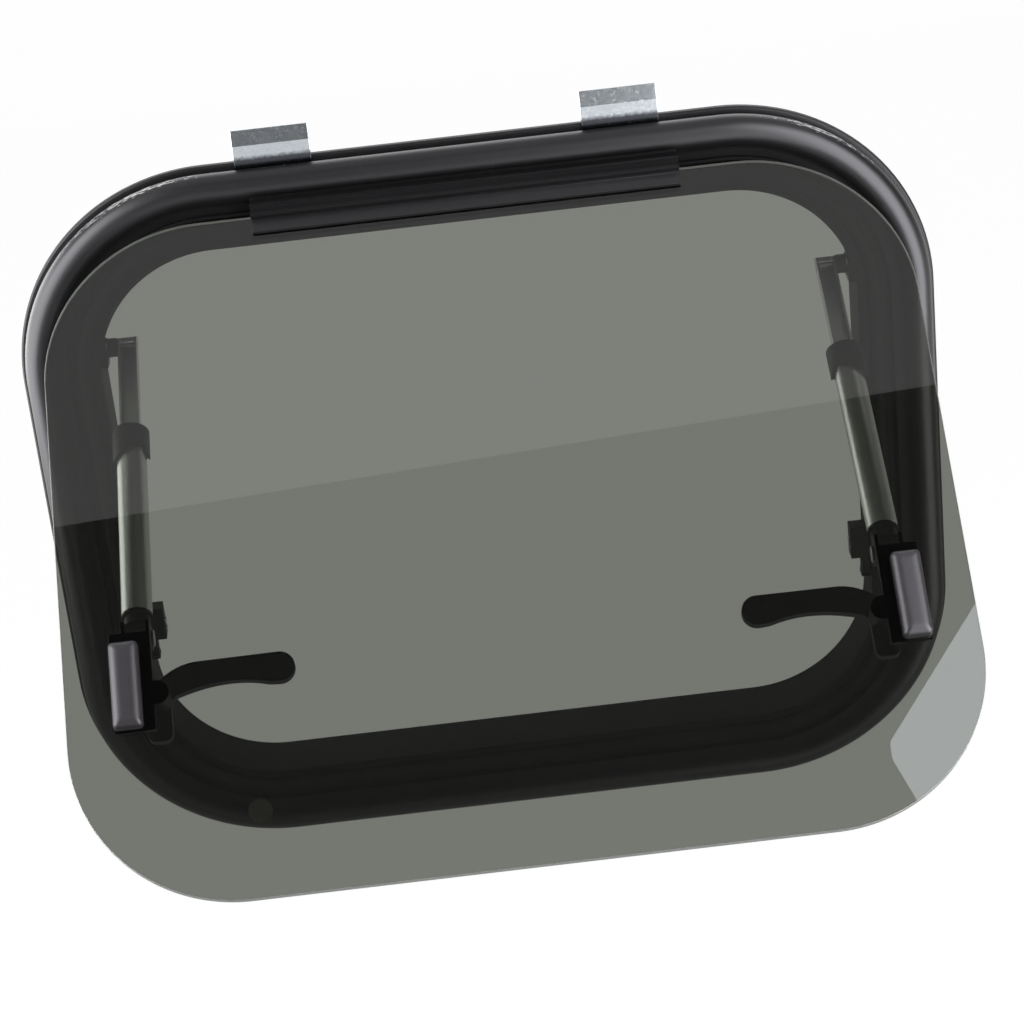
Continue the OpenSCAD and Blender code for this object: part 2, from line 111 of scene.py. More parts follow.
def piece(name, points, quads, body, slot, node=None, caps=(), run=None, angle=30.0, values=None):
    """A mesh object made of an array of points and one of quads, turned outwards, smooth below an angle."""
    points = np.asarray(points, float).reshape(-1, 3)
    faces = [tuple(int(k) for k in face) for face in (*quads, *caps)]
    if signed_volume(points, faces) < 0:
        faces = [face[::-1] for face in faces]
    mesh = bpy.data.meshes.new(name)
    mesh.from_pydata(points.tolist(), [], faces)
    if run is not None:
        corner = np.empty(len(mesh.loops), int)
        mesh.loops.foreach_get("vertex_index", corner)
        mesh.uv_layers.new(name="Run").data.foreach_set("uv", run[corner].astype(float).ravel())
    for key, numbers in (values or {}).items():
        point_values(mesh, key, numbers)
    smoothed(mesh, angle)
    return placed(name, mesh, body, slot, node)


SAME_SPOT = 2e-6  # corners nearer than this in metres are one corner
SAME_PLANE = 0.6  # faces within this angle in degrees are one face


def softened(node, body, slot, width=0.5, angle=32.0, rounds=2, inner=None):
    """A CAD solid's copy, doubled corners merged and edges rounded; inner says which points are matt."""
    mesh = frame["nodes"][node].data.copy()
    work = bmesh.new()
    work.from_mesh(mesh)
    bmesh.ops.remove_doubles(work, verts=work.verts, dist=SAME_SPOT)
    bmesh.ops.dissolve_limit(work, angle_limit=math.radians(SAME_PLANE), verts=work.verts, edges=work.edges)
    work.to_mesh(mesh)
    work.free()
    smoothed(mesh, angle)
    if inner is not None:
        point_values(mesh, "inner", inner(np.array([v.co for v in mesh.vertices])))
    obj = placed(node + "_soft", mesh, body, slot, node)
    edge = obj.modifiers.new("edges", "BEVEL")
    edge.width = width * MM
    edge.segments = rounds
    edge.limit_method = "ANGLE"
    edge.angle_limit = math.radians(angle)
    edge.harden_normals = True


# %% [markdown]
# ## Sections with small radii
# Extruded aluminium and rolled steel have no knife edges. Each corner of a section is swapped for a short
# curve, so that it catches a thin line of light as the real edge does.

# %% Rounded corners on a section
SLIGHT_TURN = 12  # a corner of a section that turns by less, in degrees, stays as it is


def eased(section, radius, closed=True, steps=3):
    """Each sharper corner becomes a quadratic curve that starts and ends about a radius away from it."""
    p = np.asarray(section, float)
    before, after = np.roll(p, 1, axis=0), np.roll(p, -1, axis=0)
    out = []
    for k, (a, b, c) in enumerate(zip(before, p, after)):
        u, v = a - b, c - b
        lu, lv = np.hypot(*u), np.hypot(*v)
        turn = math.degrees(math.acos(np.clip(-(u @ v) / (lu * lv), -1, 1)))
        if turn < SLIGHT_TURN or (not closed and k in (0, len(p) - 1)):
            out.append(b)
            continue
        reach = min(radius * math.tan(math.radians(turn) / 2) + 0.02, 0.45 * lu, 0.45 * lv)
        start, end = b + u / lu * reach, b + v / lv * reach
        for t in np.linspace(0, 1, steps + 1):
            out.append((1 - t) ** 2 * start + 2 * t * (1 - t) * b + t**2 * end)
    return np.array(out)


def arc(centre, radius, start, end, steps):
    """Points on a circle from one angle to another, in degrees."""
    a = np.radians(np.linspace(start, end, steps + 1))
    return np.stack([centre[0] + radius * np.cos(a), centre[1] + radius * np.sin(a)], axis=1)


# %% [markdown]
# ## Rings that follow the frame
# The frame, its tunnel, the seal and the clamp ring are one section each, carried round a rectangle with
# round corners. A section's point has an inset from the outline and a depth.

# %% Rings round a rounded rectangle
def outline(width, height, radius, steps=32, guard=2.0):
    """Points on a rounded rectangle and the directions out of it, anticlockwise, in mm about its middle."""
    spots, outs = [], []
    for k, (sx, sz) in enumerate([(1, 1), (-1, 1), (-1, -1), (1, -1)]):
        a = np.radians(np.linspace(90 * k, 90 * k + 90, steps + 1))
        n = np.stack([np.cos(a), np.sin(a)], axis=1)
        p = np.array([sx * (width / 2 - radius), sz * (height / 2 - radius)]) + radius * n
        lead = np.array([n[0][1], -n[0][0]]) * guard
        trail = np.array([-n[-1][1], n[-1][0]]) * guard
        spots += [p[:1] + lead, p, p[-1:] + trail]
        outs += [n[:1], n, n[-1:]]
    return np.concatenate(spots), np.concatenate(outs)


def travelled(spots):
    """How far each point of a line lies from its start, measured along the line."""
    return np.concatenate([[0], np.cumsum(np.hypot(*np.diff(spots, axis=0).T))])


def ring(section, width, height, radius, middle, steps=32):
    """Points of a ring: outline point minus inset times the outward direction, at the section's depth."""
    spots, outs = outline(width, height, radius, steps)
    xz = spots[:, None, :] - outs[:, None, :] * section[None, :, 0, None]
    y = np.broadcast_to(section[None, :, 1], xz.shape[:2])
    points = np.stack([xz[..., 0], y, xz[..., 1] + middle], axis=2) * MM
    along, over = travelled(spots), travelled(section)
    run = np.stack(np.broadcast_arrays(along[:, None], over[None, :]), axis=2) * MM
    quads = grid_faces(len(spots), len(section), True, True)
    return points.reshape(-1, 3), quads, run.reshape(-1, 2)


low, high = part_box("outer_frame")
FRAME_W, FRAME_H = (high[0] - low[0]) / MM, (high[2] - low[2]) / MM
MIDDLE = (high[2] + low[2]) / 2 / MM
CORNER = 118.0
print("frame", round(FRAME_W, 1), round(FRAME_H, 1), "middle", round(MIDDLE, 2))


def frame_ring(name, section, slot, node, inner=None):
    """A section carried round the frame, as matt as inner says."""
    points, quads, run = ring(section, FRAME_W, FRAME_H, CORNER, MIDDLE)
    values = {} if inner is None else {"inner": np.full(len(points), inner)}
    piece(name, points, quads, "frame", slot, node, run=run, values=values)


# %% [markdown]
# ## Shader parts used by several finishes
# Real coatings are never even: a fine grain breaks up the highlights, dust lies in faint clouds, and handling
# leaves hair scratches. Each effect is a node group that puts out a mask or a bent normal.

# %% Nodes in short
def fill(tree, n, **inputs):
    """Sets each input of a node to a value or links it to a socket; i0, i1 and so on are inputs by number."""
    for key, value in inputs.items():
        by_number = key[0] == "i" and key[1:].isdigit()
        socket = n.inputs[int(key[1:])] if by_number else n.inputs[key.replace("_", " ")]
        if isinstance(value, bpy.types.NodeSocket):
            tree.links.new(value, socket)
        else:
            socket.default_value = value
    return n


def node(tree, kind, settings=None, **inputs):
    """One node with its properties and its inputs."""
    n = tree.nodes.new(kind)
    for key, value in (settings or {}).items():
        setattr(n, key, value)
    return fill(tree, n, **inputs)


def calc(tree, operation, *values):
    """What a Math node makes of values or sockets."""
    inputs = {f"i{k}": value for k, value in enumerate(values)}
    return node(tree, "ShaderNodeMath", {"operation": operation}, **inputs).outputs[0]


def ramp(tree, value, low, high):
    """A value stretched so that low becomes 0 and high becomes 1, clamped."""
    return node(tree, "ShaderNodeMapRange", Value=value, From_Min=low, From_Max=high).outputs[0]


def between(tree, value, low, high, full=1.0):
    """A number that goes from low to high as a value goes from 0 to full, clamped."""
    return node(tree, "ShaderNodeMapRange", Value=value, From_Max=full, To_Min=low, To_Max=high).outputs[0]


def noise(tree, at, scale, detail, **more):
    """The value of a noise at a place."""
    return node(tree, "ShaderNodeTexNoise", Vector=at, Scale=scale, Detail=detail, **more).outputs[0]


def stretched(tree, at, scale, turn=(0, 0, 0)):
    """A place turned by angles in radians and multiplied, which stretches the pattern that is put there."""
    return node(tree, "ShaderNodeMapping", Vector=at, Rotation=turn, Scale=scale).outputs[0]


def own_place(tree):
    """Where a point lies on its own object."""
    return node(tree, "ShaderNodeTexCoord").outputs["Object"]


def mixed(tree, factor, a, b):
    """A colour that goes from a to b as the factor goes from 0 to 1."""
    a, b = [c if isinstance(c, bpy.types.NodeSocket) else (*c, 1.0) for c in (a, b)]
    return node(tree, "ShaderNodeMix", {"data_type": "RGBA"}, i0=factor, i6=a, i7=b).outputs[2]


def faded(tree, factor, a, b):
    """A shader that goes from a to b as the factor goes from 0 to 1."""
    return node(tree, "ShaderNodeMixShader", i0=factor, i1=a, i2=b).outputs[0]


# %% Node groups
def group(name, inputs, outputs):
    """An empty shader group with number inputs and the given outputs, and its two end nodes."""
    tree = bpy.data.node_groups.new(name, "ShaderNodeTree")
    for label, value in inputs:
        s = tree.interface.new_socket(label, in_out="INPUT", socket_type="NodeSocketFloat")
        s.default_value = value
    for label, kind in outputs:
        tree.interface.new_socket(label, in_out="OUTPUT", socket_type=kind)
    return tree, tree.nodes.new("NodeGroupInput"), tree.nodes.new("NodeGroupOutput")


def make_grain():
    """Fine even grain: the bent normal of a small noise, and the noise itself."""
    tree, start, end = group("grain", [("Scale", 900.0), ("Depth", 0.1)],
                             [("Normal", "NodeSocketVector"), ("Mask", "NodeSocketFloat")])
    fine = noise(tree, own_place(tree), start.outputs["Scale"], 3.0)
    bump = node(tree, "ShaderNodeBump", Strength=start.outputs["Depth"], Distance=0.0004, Height=fine)
    fill(tree, end, Normal=bump.outputs[0], Mask=fine)
    return tree


def make_scratches():
    """Hair scratches: thin bands where two slanted, stretched noises pass their middle value, in patches."""
    tree, start, end = group("scratches", [("Scale", 14.0), ("Thin", 0.012)], [("Mask", "NodeSocketFloat")])
    at, total = own_place(tree), 0.0
    for turn, stretch in (((0.3, 0.5, 0.9), (0.35, 6.0, 1.2)), ((0.9, -0.2, -0.6), (5.0, 0.4, 1.5))):
        wave = noise(tree, stretched(tree, at, stretch, turn), start.outputs["Scale"], 2.0)
        away = calc(tree, "ABSOLUTE", calc(tree, "SUBTRACT", wave, 0.5))
        total = calc(tree, "MAXIMUM", total, calc(tree, "LESS_THAN", away, start.outputs["Thin"]))
    patch = ramp(tree, noise(tree, at, 22.0, 1.0), 0.5, 0.62)
    fill(tree, end, Mask=calc(tree, "MULTIPLY", total, patch))
    return tree


def make_dust():
    """Clouds of dust with specks in them: a wide noise times a fine one."""
    tree, start, end = group("dust", [("Cloud", 9.0), ("Speck", 1400.0)], [("Mask", "NodeSocketFloat")])
    at = own_place(tree)
    cloud = ramp(tree, noise(tree, at, start.outputs["Cloud"], 5.0), 0.42, 0.75)
    speck = ramp(tree, noise(tree, at, start.outputs["Speck"], 2.0), 0.45, 0.8)
    fill(tree, end, Mask=calc(tree, "MULTIPLY", cloud, speck))
    return tree


GRAIN, SCRATCHES, DUST = make_grain(), make_scratches(), make_dust()
print("groups", [g.name for g in bpy.data.node_groups])


# %% [markdown]
# ## Finishes
# Each material slot of the record gets one finish. Its values were set against the photo, and what varies
# over the surface comes from the groups.

# %% Start of a finish
def material(name):
    """A new material with its tree, its Principled shader and its output."""
    mat = bpy.data.materials.new(name)
    mat.use_nodes = True
    tree = mat.node_tree
    return mat, tree, tree.nodes["Principled BSDF"], tree.nodes["Material Output"]


def use(tree, effect, **values):
    """A group node in a material, with its numbers set."""
    return node(tree, "ShaderNodeGroup", {"node_tree": effect}, **values)


def point_value(tree, name):
    """The number that a mesh carries under a name, or 0 where it carries none."""
    return node(tree, "ShaderNodeAttribute", {"attribute_name": name}).outputs["Fac"]


PALE_DUST = (0.42, 0.41, 0.4)
ROUGH_SPREAD = 0.06  # how far the grain moves the roughness either way


def plain(name, colour, roughness, metallic=0.0, grain=(900.0, 0.1), dust=0.0, specular=0.5):
    """A finish with grain in its normal, tone and roughness, and a little pale dust where it is asked for."""
    mat, tree, shader, _ = material(name)
    fine = use(tree, GRAIN, Scale=grain[0], Depth=grain[1])
    mask = fine.outputs["Mask"]
    tone = mixed(tree, mask, [c * 0.8 for c in colour], [c * 1.2 for c in colour])
    if dust:
        tone = mixed(tree, calc(tree, "MULTIPLY", use(tree, DUST).outputs[0], dust), tone, PALE_DUST)
    rough = between(tree, mask, roughness - ROUGH_SPREAD, roughness + ROUGH_SPREAD)
    fill(tree, shader, Normal=fine.outputs["Normal"], Roughness=rough, Base_Color=tone, Metallic=metallic,
         Specular_IOR_Level=specular)
    return mat


finish = {}

# %% [markdown]
# ### Black coated aluminium
# A satin powder coat with a soft sheen. Along the bead's outer edge the coat is chipped to the bright metal
# near the two upper corners, where the window has been stood and slid. The mesh carries where that edge is,
# and which surfaces lie further in: those are more matt.

# %% Black frame
def black_frame():
    """Satin coat with scratches, and bright chips where a noise passes a limit inside the worn edge."""
    mat, tree, shader, _ = material("black_frame")
    fine = use(tree, GRAIN, Scale=2200.0, Depth=0.01)
    mask = fine.outputs["Mask"]
    dust = calc(tree, "MULTIPLY", use(tree, DUST).outputs[0], 0.015)
    scratch = calc(tree, "MULTIPLY", use(tree, SCRATCHES, Scale=9.0, Thin=0.006).outputs[0], 0.02)
    worn, inner = point_value(tree, "worn"), point_value(tree, "inner")
    run = node(tree, "ShaderNodeUVMap", {"uv_map": "Run"}).outputs[0]
    blot = noise(tree, stretched(tree, run, (190.0, 1100.0, 1.0), (0, 0, 0.12)), 1.0, 4.0, Roughness=0.6)
    chip = calc(tree, "GREATER_THAN", blot, between(tree, worn, 0.9, 0.49))
    chip = calc(tree, "MULTIPLY", chip, calc(tree, "GREATER_THAN", worn, 0.02))
    colour = mixed(tree, mask, (0.005, 0.005, 0.0054), (0.009, 0.009, 0.0098))
    colour = mixed(tree, dust, colour, (0.35, 0.34, 0.33))
    colour = mixed(tree, scratch, colour, (0.3, 0.3, 0.3))
    colour = mixed(tree, chip, colour, (0.95, 0.95, 0.94))
    rough = calc(tree, "MULTIPLY_ADD", inner, 0.2, between(tree, mask, 0.34, 0.42))
    fill(tree, shader, Normal=fine.outputs["Normal"], Base_Color=colour, Roughness=rough,
         Specular_IOR_Level=between(tree, inner, 0.48, 0.1), Specular_Tint=(0.96, 0.94, 1.0, 1))
    return mat


finish["black_frame"] = black_frame()

# %% Plastic, rubber, pins and the covers' paint
for name, colour, roughness, metallic, grain, dust, specular in (
    ("black_plastic", (0.004, 0.004, 0.0044), 0.46, 0.0, (1800.0, 0.06), 0.008, 0.12),
    ("seal_rubber", (0.008, 0.008, 0.008), 0.7, 0.0, (1200.0, 0.1), 0.02, 0.1),
    ("pin_steel", (0.32, 0.32, 0.33), 0.36, 1.0, (1400.0, 0.1), 0.1, 0.5),
    ("grey_metal", (0.050, 0.047, 0.052), 0.46, 0.8, (1600.0, 0.1), 0.05, 0.5),
):
    finish[name] = plain(name, colour, roughness, metallic, grain, dust, specular)


# %% [markdown]
# ### Zinc plated steel
# Hot zinc freezes in spangles, and the rolling leaves faint lines. Both change the roughness and the tone.
# The foot of each clip, behind the bead, is painted darker: a painted reflection of the black bead that
# stands in front of it.

# %% Zinc
CLIP_FOOT = (MIDDLE + FRAME_H / 2 + 1.5) * MM
# Heights where the painted reflection of the bead on each clip's foot is full and where it is gone
PAINTED_DARK_FULL, PAINTED_DARK_GONE = CLIP_FOOT + 0.004, CLIP_FOOT + 0.0066  # heights, before the noise ripples them


def zinc_steel():
    """Metal whose tone and roughness change from one Voronoi cell to the next, with fine rolling lines and a
    painted dark reflection of the bead at its foot.
    """
    mat, tree, shader, _ = material("zinc_steel")
    at = own_place(tree)
    cell = node(tree, "ShaderNodeTexVoronoi", Vector=at, Scale=900.0, Randomness=1.0).outputs["Color"]
    cloud = noise(tree, at, 420.0, 4.0, Roughness=0.65)
    tone = calc(tree, "MULTIPLY", node(tree, "ShaderNodeSeparateColor", Color=cell).outputs[0], cloud)
    colour = mixed(tree, ramp(tree, tone, 0.05, 0.5), (0.46, 0.49, 0.52), (0.51, 0.545, 0.575))
    # Painted reflection: below a rippled height the zinc turns dark, as if it mirrored the black bead in
    # front of it
    height = node(tree, "ShaderNodeSeparateXYZ", Vector=at).outputs["Z"]
    height = calc(tree, "MULTIPLY_ADD", cloud, 0.003, height)
    above_painted_dark = ramp(tree, height, PAINTED_DARK_FULL, PAINTED_DARK_GONE)
    colour = mixed(tree, above_painted_dark, (0.065, 0.069, 0.079), colour)
    roll = noise(tree, stretched(tree, at, (1.0, 40.0, 40.0)), 60.0, 2.0)
    bump = node(tree, "ShaderNodeBump", Strength=0.05, Distance=0.0002, Height=roll)
    fill(tree, shader, Base_Color=colour, Roughness=between(tree, tone, 0.22, 0.28, full=0.6),
         Normal=bump.outputs[0], Metallic=1.0)
    return mat


finish["zinc_steel"] = zinc_steel()


# %% [markdown]
# ### Anodised tube
# The tubes and channels are drawn and anodised: very fine lines run along them. The noise behind them is
# turned to the stay's own slant in the open window and stretched along it.

# %% Anodised aluminium
STAY_SLANT = math.radians(63.6)


def tube_aluminium():
    """Pale satin metal with fine streaks along the stay, from a noise stretched in the stay's plane."""
    mat, tree, shader, _ = material("tube_aluminium")
    place = stretched(tree, own_place(tree), (60.0, 60.0, 1.0), (STAY_SLANT, 0, 0))
    streak = noise(tree, place, 18.0, 4.0)
    fill(tree, shader, Base_Color=mixed(tree, streak, (0.52, 0.53, 0.52), (0.58, 0.59, 0.58)),
         Roughness=between(tree, streak, 0.30, 0.38), Metallic=1.0)
    return mat


finish["tube_aluminium"] = tube_aluminium()


# %% [markdown]
# ### Tinted glass
# Four millimetres of grey-green glass let about a fifth of the light through. Shadow rays take the tint
# straight, so that what stands behind the glass is lit through it. Dust veils the surface very faintly.

# %% Glass
TINT = (0.184, 0.191, 0.171, 1)


def tinted_glass():
    """Clear refraction tinted by its base colour, mixed with a transparent shader for shadow rays."""
    mat, tree, shader, out = material("tinted_glass")
    fill(tree, shader, Base_Color=TINT, Roughness=0.0, IOR=1.5, Transmission_Weight=1.0)
    veil = calc(tree, "MULTIPLY", use(tree, DUST, Cloud=6.0, Speck=2600.0).outputs[0], 0.002)
    marks = calc(tree, "MULTIPLY", use(tree, SCRATCHES, Scale=5.0, Thin=0.004).outputs[0], 0.004)
    film = node(tree, "ShaderNodeBsdfDiffuse", Color=(0.5, 0.5, 0.48, 1)).outputs[0]
    dusty = faded(tree, calc(tree, "ADD", veil, marks), shader.outputs[0], film)
    through = node(tree, "ShaderNodeBsdfTransparent", Color=TINT).outputs[0]
    shadow = node(tree, "ShaderNodeLightPath").outputs["Is Shadow Ray"]
    fill(tree, out, Surface=faded(tree, shadow, dusty, through))
    return mat


def glass_edge():
    """The ground rim of the sheet: pale green and half clear, which shows as a thin bright line."""
    mat, tree, shader, _ = material("glass_edge")
    fine = use(tree, GRAIN, Scale=700.0, Depth=0.1)
    colour = mixed(tree, fine.outputs["Mask"], (0.46, 0.51, 0.47), (0.60, 0.65, 0.61))
    fill(tree, shader, Normal=fine.outputs["Normal"], Base_Color=colour, Roughness=0.4,
         Transmission_Weight=0.6)
    return mat


finish["tinted_glass"] = tinted_glass()
finish["glass_edge"] = glass_edge()
finish["label"] = plain("label", (0.30, 0.30, 0.285), 0.5, grain=(500.0, 0.05))
print("finishes", sorted(finish))

# %% [markdown]
# ## The outer frame
# One extrusion runs round the window: a convex bead, a concave valley, a thin rib, a groove and the land for
# the seal. The same section in finer steps gives the highlight on the bead its true width. Insets and depths
# are in mm, and a depth is negative in front of the wall.

# %% Frame section and ring
BEAD_R, BEAD_FRONT, BEND = 9.2, 10.5, 50  # the bead's round ends and the valley's begins at this angle
VALLEY_R = 5.0
RIB, RIB_END, RIB_FRONT, RIB_FOOT, GROOVE = 23.2, 25.0, -8.9, -4, 28.4
SEAL_IN, SEAL_OUT, SEAL_BED = 30.6, 38.6, -4.5
LAND, FACE, LAND_FRONT = 42.8, 44.6, -6
bead = np.array([BEAD_R, BEAD_R - BEAD_FRONT])
toward = np.array([math.sin(math.radians(BEND)), -math.cos(math.radians(BEND))])
valley = bead + (BEAD_R + VALLEY_R) * toward
section = eased(np.concatenate([
    eased([[1.2, 0], [0, -1.2]], 0.2, closed=False),
    arc(bead, BEAD_R, 180, 270 + BEND, 30), arc(valley, VALLEY_R, 90 + BEND, 90, 8)[1:],
    [[RIB, valley[1] + VALLEY_R], [RIB, RIB_FRONT], [RIB_END, RIB_FRONT], [RIB_END, RIB_FOOT],
     [GROOVE, RIB_FOOT], [GROOVE, LAND_FRONT], [SEAL_IN, LAND_FRONT], [SEAL_IN, SEAL_BED],
     [SEAL_OUT, SEAL_BED], [SEAL_OUT, LAND_FRONT], [LAND, LAND_FRONT], [LAND, 0], [34, 0], [34, -1.5],
     [14, -1.5], [14, 0]]]), 0.3)


def hump(values, centre, width, power=2):
    """1 at the centre, falling smoothly on both sides over about a width."""
    return np.exp(-(((values - centre) / width) ** power))


# Where the coat is chipped: middle and spread of its depth and of both stretches, and the limits round them
WORN_DEPTH, WORN_LEFT, WORN_RIGHT = (-3.1, 3.2), (-192, 66), (205, 42)
WORN_INSET, WORN_ABOVE, WORN_BESIDE = 2.6, MIDDLE + 150, 60
MATT_FROM, MATT_OVER = 11.0, 2.5  # the coat turns matt from this inset on, over this width
points, quads, run = ring(section, FRAME_W, FRAME_H, CORNER, MIDDLE, 40)
x, y, z = (points / MM).T
inset = section[:, 0][np.arange(len(points)) % len(section)]
limits = (inset < WORN_INSET) * (z > WORN_ABOVE) * (np.abs(x) > WORN_BESIDE)
worn = hump(y, *WORN_DEPTH, 4) * limits * np.maximum(hump(x, *WORN_LEFT), hump(x, *WORN_RIGHT))
inner = np.clip((inset - MATT_FROM) / MATT_OVER, 0, 1)
piece("frame_ring", points, quads, "frame", "black_frame", "outer_frame", run=run,
      values={"worn": worn, "inner": inner})
print("frame ring", len(quads), "faces")

# %% [markdown]
# ## Tunnel, clamp ring and seal
# The tunnel lines the wall cut-out and ends in front as a lip round the opening. The clamp ring grips the
# wall from behind, and the bulb seal sits in the frame's land, where the closed glass presses on it.

# %% Tunnel, clamp ring and seal
LIP, BACK, SLOPE = -7.6, 27.0, 0.8
tunnel = [[LAND, BACK], [LAND, LIP], [LAND + SLOPE, LIP - SLOPE], [FACE, LIP], [FACE, BACK - SLOPE],
          [FACE - SLOPE, BACK]]
frame_ring("tunnel_ring", eased(tunnel, 0.3), "black_frame", "frame_tunnel", inner=1.0)

clamp_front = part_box("clamp_ring")[0][1] / MM
CLAMP_T = 2.0
clamp = np.array([[-1.5, 0], [42.2, 0], [42.2, 8], [40.2, 8], [40.2, CLAMP_T], [-0.5, CLAMP_T], [-0.5, 4],
                  [-2.5, 4], [-2.5, 1]]) + [0, clamp_front]
frame_ring("clamp_ring_eased", eased(clamp, 0.4), "black_frame", "clamp_ring", inner=0.4)

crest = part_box("frame_seal")[0][1] / MM
a = np.radians(np.arange(10, 180, 10))
bulb = np.stack([(SEAL_IN + SEAL_OUT) / 2 - (SEAL_OUT - SEAL_IN) / 2 * np.cos(a),
                 LAND_FRONT + (crest - LAND_FRONT) * np.sin(a)], axis=1)
bulb = np.concatenate([[[SEAL_IN, SEAL_BED], [SEAL_IN, LAND_FRONT]], bulb,
                       [[SEAL_OUT, LAND_FRONT], [SEAL_OUT, SEAL_BED]]])
frame_ring("seal_bulb", bulb, "seal_rubber", "frame_seal")
gasket = frame["nodes"]["wall_gasket"].data.materials
gasket.clear()
gasket.append(finish["seal_rubber"])

# %% [markdown]
# ## The glass
# A flat sheet with round corners. Its rim is ground, with a small chamfer on each side, and shows as a bright
# line round it. The sheet is drawn in its own plane and then stood at the window's angle.

# %% Glass sheet
OPEN = math.radians(48.8)
hinge = np.array(next(joint for joint in frame["joints"] if joint["name"] == "sash_hinge")["pos_m"])
glass_low, glass_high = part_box("glass")
GLASS_W = (glass_high[0] - glass_low[0]) / MM
GLASS_H, GLASS_R, GLASS_T, CHAMFER = 394.6, 91.0, 4.0, 0.25
GLASS_MID_Y, GLASS_TOP = -12.0, MIDDLE + FRAME_H / 2 - 19.1


def to_open(points):
    """Points of the closed window, turned about the hinge to where the open window stands."""
    x, y, z = (np.asarray(points, float) - hinge).T
    y, z = y * math.cos(OPEN) + z * math.sin(OPEN), z * math.cos(OPEN) - y * math.sin(OPEN)
    return np.stack([x, y, z], axis=1) + hinge


half = GLASS_T / 2
sheet = np.array([[CHAMFER + 3, -half], [CHAMFER, -half], [0, CHAMFER - half], [0, half - CHAMFER],
                  [CHAMFER, half], [CHAMFER + 3, half]]) + [0, GLASS_MID_Y]
cols = len(sheet)
points, quads, _ = ring(sheet, GLASS_W, GLASS_H, GLASS_R, GLASS_TOP - GLASS_H / 2, 40)
quads = quads[np.arange(len(quads)) % cols < cols - 1]
pane = piece("glass_sheet", to_open(points), quads, "sash", "tinted_glass", "glass",
             caps=ends(len(points) // cols, cols), angle=20)
pane.data.materials.append(finish["glass_edge"])
ground = np.zeros(len(pane.data.polygons), np.int32)
ground[: len(quads)] = np.isin(np.arange(len(quads)) % (cols - 1), (1, 2, 3))
pane.data.polygons.foreach_set("material_index", ground)
print("glass", round(GLASS_W, 1), "x", GLASS_H, "mm")

# %% [markdown]
# ## Moulded, cast and bent pieces
# The levers, brackets and strikes are moulded with small radii, the clips are bent, and the hinge profiles
# are extruded. Their solids are right as they are, so each is copied, cleaned and given its edge radii.

# %% Softened pieces
for _, side in SIDES:
    softened("stay_bracket_" + side, "frame", "black_plastic", 0.5)
    softened("strike_" + side, "frame", "black_plastic", 0.5)
    softened("sash_bracket_" + side, "sash", "black_plastic", 0.4)
    softened("stay_pin_" + side, "sash", "pin_steel", 0.3)
    softened("catch_pin_" + side, "sash", "pin_steel", 0.3)
    softened("catch_lever_" + side, "catch_" + side, "black_plastic", 1.0, rounds=3)
    softened("stay_tube_" + side, "stay_" + side, "tube_aluminium", 0.2)
    softened("stay_plug_" + side, "stay_" + side, "black_plastic", 0.3)
    softened("stay_collar_" + side, "stay_" + side, "black_plastic", 0.5)
    softened("stay_rod_" + side, "slide_" + side, "tube_aluminium", 0.25)
    softened("rod_pin_" + side, "slide_" + side, "pin_steel", 0.3)
    softened("wall_clip_" + side, "frame", "zinc_steel", 0.4)
CHANNEL_R = 3.6 * MM  # points of the leaf nearer to the hinge's axis lie in its channel
softened("hinge_rail", "frame", "black_frame", 0.25, inner=lambda spots: np.ones(len(spots)))
softened("hinge_leaf", "sash", "black_frame", 0.25,
         inner=lambda spots: np.hypot(spots[:, 1] - hinge[1], spots[:, 2] - hinge[2]) < CHANNEL_R)

# %% [markdown]
# ## Covers
# Each cover is a die cast cushion: straight low sides, then a top that rolls over softly to a narrow flat.
# It is built as rounded rectangles, each a little smaller and higher than the one before.

# %% Cast covers
COVER_W, COVER_H, COVER_R = 16, 48.5, 2.4
COVER_X = FRAME_W / 2 - 21.2 - 33.4  # the glass starts 21.2 mm in, and the cover's middle is 33.4 mm further
COVER_Z = GLASS_TOP - (0.608 * GLASS_H + 6.8) - COVER_H / 2  # its top is 6.8 mm below 0.608 of the glass
INSET = (0.35, 0.0, 0.0, 0.12, 0.5, 1.1, 1.9, 2.9, 4.0, 5.2, 6.4)
RISE = (0.0, 0.3, 2.6, 4.0, 5.3, 6.3, 7.05, 7.55, 7.85, 7.97, 8.0)
for sign, side in SIDES:
    levels = []
    for i, h in zip(INSET, RISE):
        spots, _ = outline(COVER_W - 2 * i, COVER_H - 2 * i, max(COVER_R - 0.25 * i, 0.8), 8, guard=0.3)
        depth = np.full(len(spots), GLASS_MID_Y - GLASS_T / 2 - h)
        levels.append(np.stack([spots[:, 0] + sign * COVER_X, depth, spots[:, 1] + COVER_Z], axis=1))
    points = np.stack(levels, axis=1)
    n, m = points.shape[:2]
    piece("cover_cushion_" + side, to_open(points.reshape(-1, 3) * MM), grid_faces(n, m, True, False), "sash",
          "grey_metal", "cover_" + side, caps=ends(n, m), angle=40)

# %% [markdown]
# ## Screws
# Small cross-head screws hold the clamp ring from the room side and fix the brackets and strikes. Each is a
# turned dome whose middle is pressed in as a cross: points near either line of the cross sink.

# %% Cross-head screws
AROUND = 48  # points round a screw's head and round the sticker
CROSS_HALF, CROSS_REACH, CROSS_DEEP = 0.15, 0.62, 0.65  # as shares of the head's radius and height
RING_HEAD, SMALL_HEAD = (3.4, 1.7), (2.0, 0.9)  # radius and height


